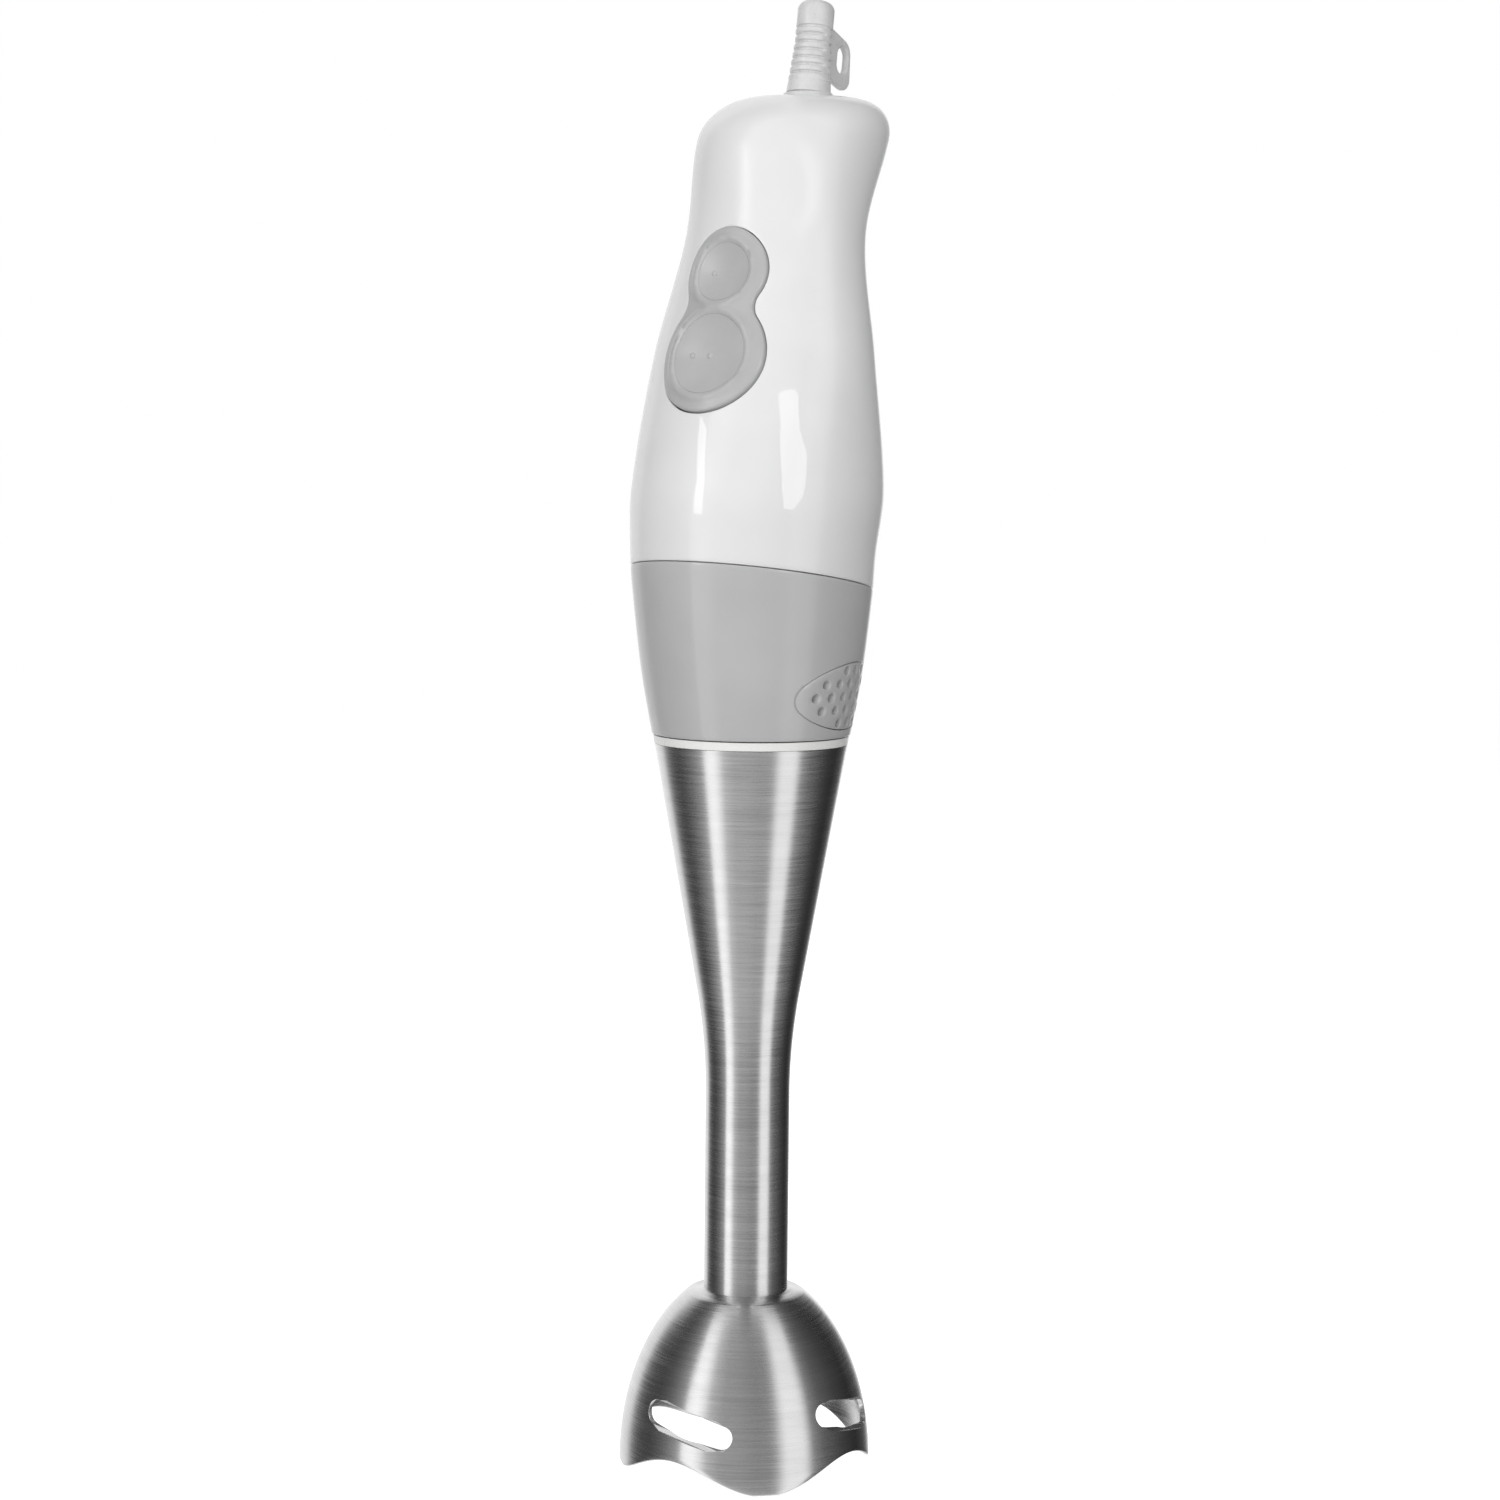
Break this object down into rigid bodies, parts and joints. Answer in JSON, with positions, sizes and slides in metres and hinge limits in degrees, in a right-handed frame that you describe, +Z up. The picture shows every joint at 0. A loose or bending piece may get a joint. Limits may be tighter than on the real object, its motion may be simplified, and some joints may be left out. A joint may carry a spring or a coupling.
{
  "type": "immersion blender",
  "caption": "Hand-held stick blender: bent two-tone handle with two soft press buttons and a twist-off tapered steel leg that ends in a slotted bell over a winged blade.",
  "frame": {"origin": "on the drive shaft's axis, in the plane of the four feet of the bell", "axes": "+Z up the shaft towards the handle, -Y towards the side with the buttons, +Y towards the side the strain relief leans to"},
  "size_m": [0.0652, 0.0746, 0.381],
  "materials": {
    "white_abs": "high gloss",
    "grey_abs": "gloss",
    "soft_grey": "satin, soft to the touch",
    "white_pvc": "satin",
    "white_nylon": "satin",
    "black_nylon": "satin",
    "circuit_board": "matt",
    "film_case": "gloss",
    "glass_black": "gloss",
    "zinc_steel": "bright zinc",
    "lead_blue": "satin",
    "lamination": "varnished sheet edges",
    "copper": "enamelled wire",
    "zinc_bracket": "pressed sheet",
    "bronze": "sintered",
    "black_rubber": "matt",
    "brass": "drawn",
    "carbon": "matt",
    "shaft_steel": "ground",
    "brushed_stainless": "brushed round the axis",
    "blade_steel": "ground"
  },
  "bodies": {
    "housing": {"upper_housing": "white_abs", "lower_collar": "grey_abs", "left_vent_grille": "grey_abs", "right_vent_grille": "grey_abs", "button_pad": "soft_grey", "low_speed_switch": "black_nylon", "high_speed_switch": "black_nylon", "switch_board": "circuit_board", "suppression_capacitor": "film_case", "speed_diode": "glass_black", "strain_relief": "white_pvc", "cord_clamp": "white_nylon", "clamp_screws": "zinc_steel", "motor_leads": "lead_blue", "stator_core": "lamination", "field_coils": "copper", "upper_bracket": "zinc_bracket", "lower_bracket": "zinc_bracket", "upper_bearing": "bronze", "lower_bearing": "bronze", "motor_screws": "zinc_steel", "upper_damper": "black_rubber", "lower_damper": "black_rubber", "brush_holders": "brass", "carbon_brushes": "carbon", "brush_springs": "zinc_steel", "leg_boss": "white_nylon", "boss_screws": "zinc_steel"},
    "low_button": {"low_speed_button": "soft_grey", "low_speed_plunger": "white_nylon"},
    "high_button": {"high_speed_button": "soft_grey", "high_speed_plunger": "white_nylon"},
    "rotor": {"motor_shaft": "shaft_steel", "armature_core": "lamination", "armature_windings": "copper", "commutator": "copper", "cooling_fan": "white_nylon", "motor_dog": "black_nylon"},
    "leg_carrier": {"leg_seal": "black_rubber"},
    "leg": {"leg_coupler": "white_nylon", "leg_tube": "brushed_stainless", "blade_guard": "brushed_stainless", "bearing_carrier": "white_nylon", "upper_bush": "bronze", "lower_bush": "bronze", "shaft_seal": "black_rubber"},
    "drive": {"drive_shaft": "shaft_steel", "shaft_dog": "black_nylon", "shaft_clip": "shaft_steel", "thrust_washer": "white_nylon", "blade": "blade_steel", "blade_nut": "shaft_steel"}
  },
  "joints": [
    {"name": "low_speed_button_press", "type": "slide", "parent": "housing", "child": "low_button", "axis": [0, 0.9538, -0.3004], "range_m": [0, 0.0018], "stiffness_N_per_m": 1200, "springref_m": -0.001},
    {"name": "high_speed_button_press", "type": "slide", "parent": "housing", "child": "high_button", "axis": [0, 0.9538, -0.3004], "range_m": [0, 0.0018], "stiffness_N_per_m": 1200, "springref_m": -0.001},
    {"name": "motor_spin", "type": "hinge", "parent": "housing", "child": "rotor", "pos_m": [0, 0, 0.23], "axis": [0, 0, 1], "continuous": true},
    {"name": "leg_drop", "type": "slide", "parent": "housing", "child": "leg_carrier", "axis": [0, 0, -1], "range_m": [0, 0.00751]},
    {"name": "leg_twist", "type": "hinge", "parent": "leg_carrier", "child": "leg", "pos_m": [0, 0, 0.18], "axis": [0, 0, 1], "range_deg": [0, 90]},
    {"name": "shaft_spin", "type": "hinge", "parent": "leg_carrier", "child": "drive", "pos_m": [0, 0, 0.1], "axis": [0, 0, 1], "continuous": true}
  ],
  "couplings": [
    {"joint": "leg_drop", "follows": "leg_twist", "m_per_rad": 0.0047747},
    {"joint": "shaft_spin", "follows": "motor_spin", "ratio": 1}
  ]
}
